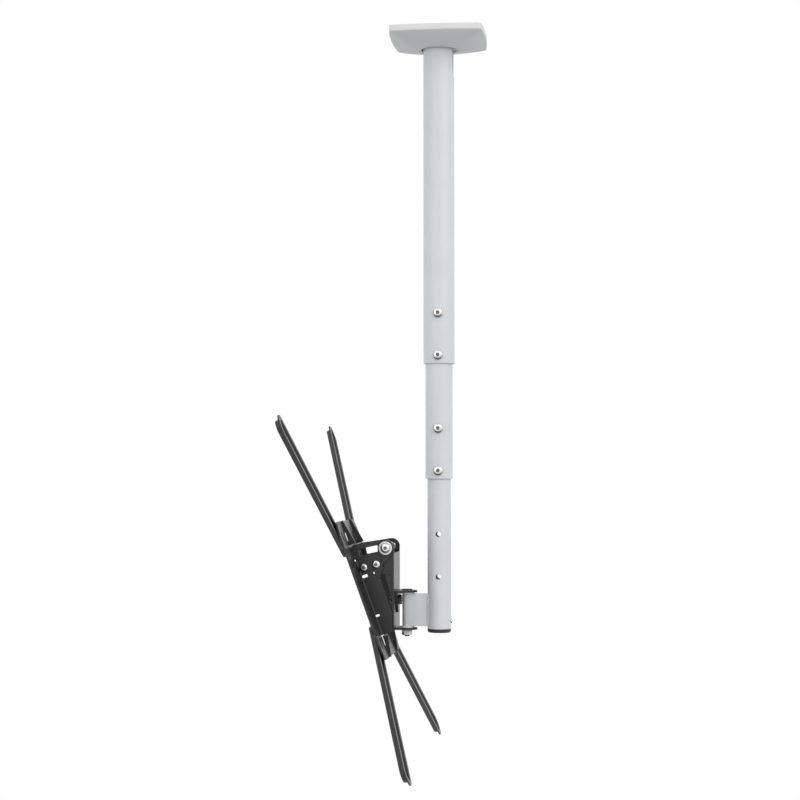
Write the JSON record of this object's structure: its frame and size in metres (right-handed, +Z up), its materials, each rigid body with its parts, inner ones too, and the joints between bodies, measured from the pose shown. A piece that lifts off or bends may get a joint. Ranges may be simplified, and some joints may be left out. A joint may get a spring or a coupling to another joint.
{
  "type": "tv ceiling mount",
  "caption": "Telescopic pole mount for hanging a flat screen from a ceiling, with a sliding cover, a swivelling and tilting bracket and slotted screen arms.",
  "frame": {"origin": "middle of the ceiling plate's top face, where the mount meets the ceiling", "axes": "+Z up, the screen hangs towards -Y, +X to the right when facing the screen"},
  "size_m": [0.4232, 0.2199, 0.861],
  "materials": {
    "cover_plastic": "satin",
    "tube_paint": "satin powder coat",
    "black_paint": "semi-gloss powder coat",
    "black_plastic": "satin",
    "nylon": "satin",
    "nylon_black": "satin",
    "zinc": "bright zinc"
  },
  "bodies": {
    "mast": {"ceiling_plate": "tube_paint", "upper_tube": "tube_paint", "upper_lock_screw_upper": "zinc", "upper_lock_screw_lower": "zinc"},
    "cover": {"ceiling_cover": "cover_plastic"},
    "middle": {"middle_tube": "tube_paint", "middle_lock_screw_upper": "zinc", "middle_lock_screw_lower": "zinc"},
    "lower": {"lower_tube": "tube_paint", "swivel_arm": "tube_paint", "end_cap": "black_plastic", "cap_screw": "zinc"},
    "swivel": {"swivel_yoke": "black_paint", "tilt_bracket": "black_paint", "swivel_bolt": "black_paint", "swivel_nut": "zinc", "swivel_washer_upper": "nylon", "swivel_washer_lower": "nylon", "yoke_bolt": "black_paint", "yoke_nut": "black_paint"},
    "screen": {"screen_plate": "black_paint", "tilt_cheek_right": "black_paint", "pivot_washer_right": "zinc", "pivot_bolt_right": "zinc", "pivot_nut_right": "zinc", "tilt_cheek_left": "black_paint", "pivot_washer_left": "zinc", "pivot_bolt_left": "zinc", "pivot_nut_left": "zinc", "cheek_screw_right_front": "zinc", "cheek_screw_right_rear": "zinc", "cheek_screw_left_front": "zinc", "cheek_screw_left_rear": "zinc", "arm_bolt_upper_right": "black_paint", "arm_washer_upper_right": "nylon_black", "arm_nut_upper_right": "black_paint", "arm_bolt_upper_left": "black_paint", "arm_washer_upper_left": "nylon_black", "arm_nut_upper_left": "black_paint", "arm_bolt_lower_right": "black_paint", "arm_washer_lower_right": "nylon_black", "arm_nut_lower_right": "black_paint", "arm_bolt_lower_left": "black_paint", "arm_washer_lower_left": "nylon_black", "arm_nut_lower_left": "black_paint"},
    "arm_upper_right": {"arm_upper_right": "black_paint"},
    "arm_upper_left": {"arm_upper_left": "black_paint"},
    "arm_lower_right": {"arm_lower_right": "black_paint"},
    "arm_lower_left": {"arm_lower_left": "black_paint"}
  },
  "joints": [
    {"name": "cover_slide", "type": "slide", "parent": "mast", "child": "cover", "axis": [0, 0, 1], "range_m": [-0.28, 0]},
    {"name": "middle_slide", "type": "slide", "parent": "mast", "child": "middle", "axis": [0, 0, 1], "range_m": [0, 0.07]},
    {"name": "lower_slide", "type": "slide", "parent": "middle", "child": "lower", "axis": [0, 0, 1], "range_m": [0, 0.125]},
    {"name": "swivel_turn", "type": "hinge", "parent": "lower", "child": "swivel", "pos_m": [0, -0.0383, -0.687], "axis": [0, 0, 1], "range_deg": [-30, 30]},
    {"name": "screen_tilt", "type": "hinge", "parent": "swivel", "child": "screen", "pos_m": [0, -0.06, -0.613], "axis": [1, 0, 0], "range_deg": [-25, 0]},
    {"name": "arm_turn_upper_right", "type": "hinge", "parent": "screen", "child": "arm_upper_right", "pos_m": [0.066, -0.11494, -0.60182], "axis": [0, -0.9397, -0.342], "range_deg": [-45, 45]},
    {"name": "arm_turn_upper_left", "type": "hinge", "parent": "screen", "child": "arm_upper_left", "pos_m": [-0.066, -0.11494, -0.60182], "axis": [0, -0.9397, -0.342], "range_deg": [-45, 45]},
    {"name": "arm_turn_lower_right", "type": "hinge", "parent": "screen", "child": "arm_lower_right", "pos_m": [0.066, -0.06979, -0.72586], "axis": [0, -0.9397, -0.342], "range_deg": [-45, 45]},
    {"name": "arm_turn_lower_left", "type": "hinge", "parent": "screen", "child": "arm_lower_left", "pos_m": [-0.066, -0.06979, -0.72586], "axis": [0, -0.9397, -0.342], "range_deg": [-45, 45]}
  ]
}
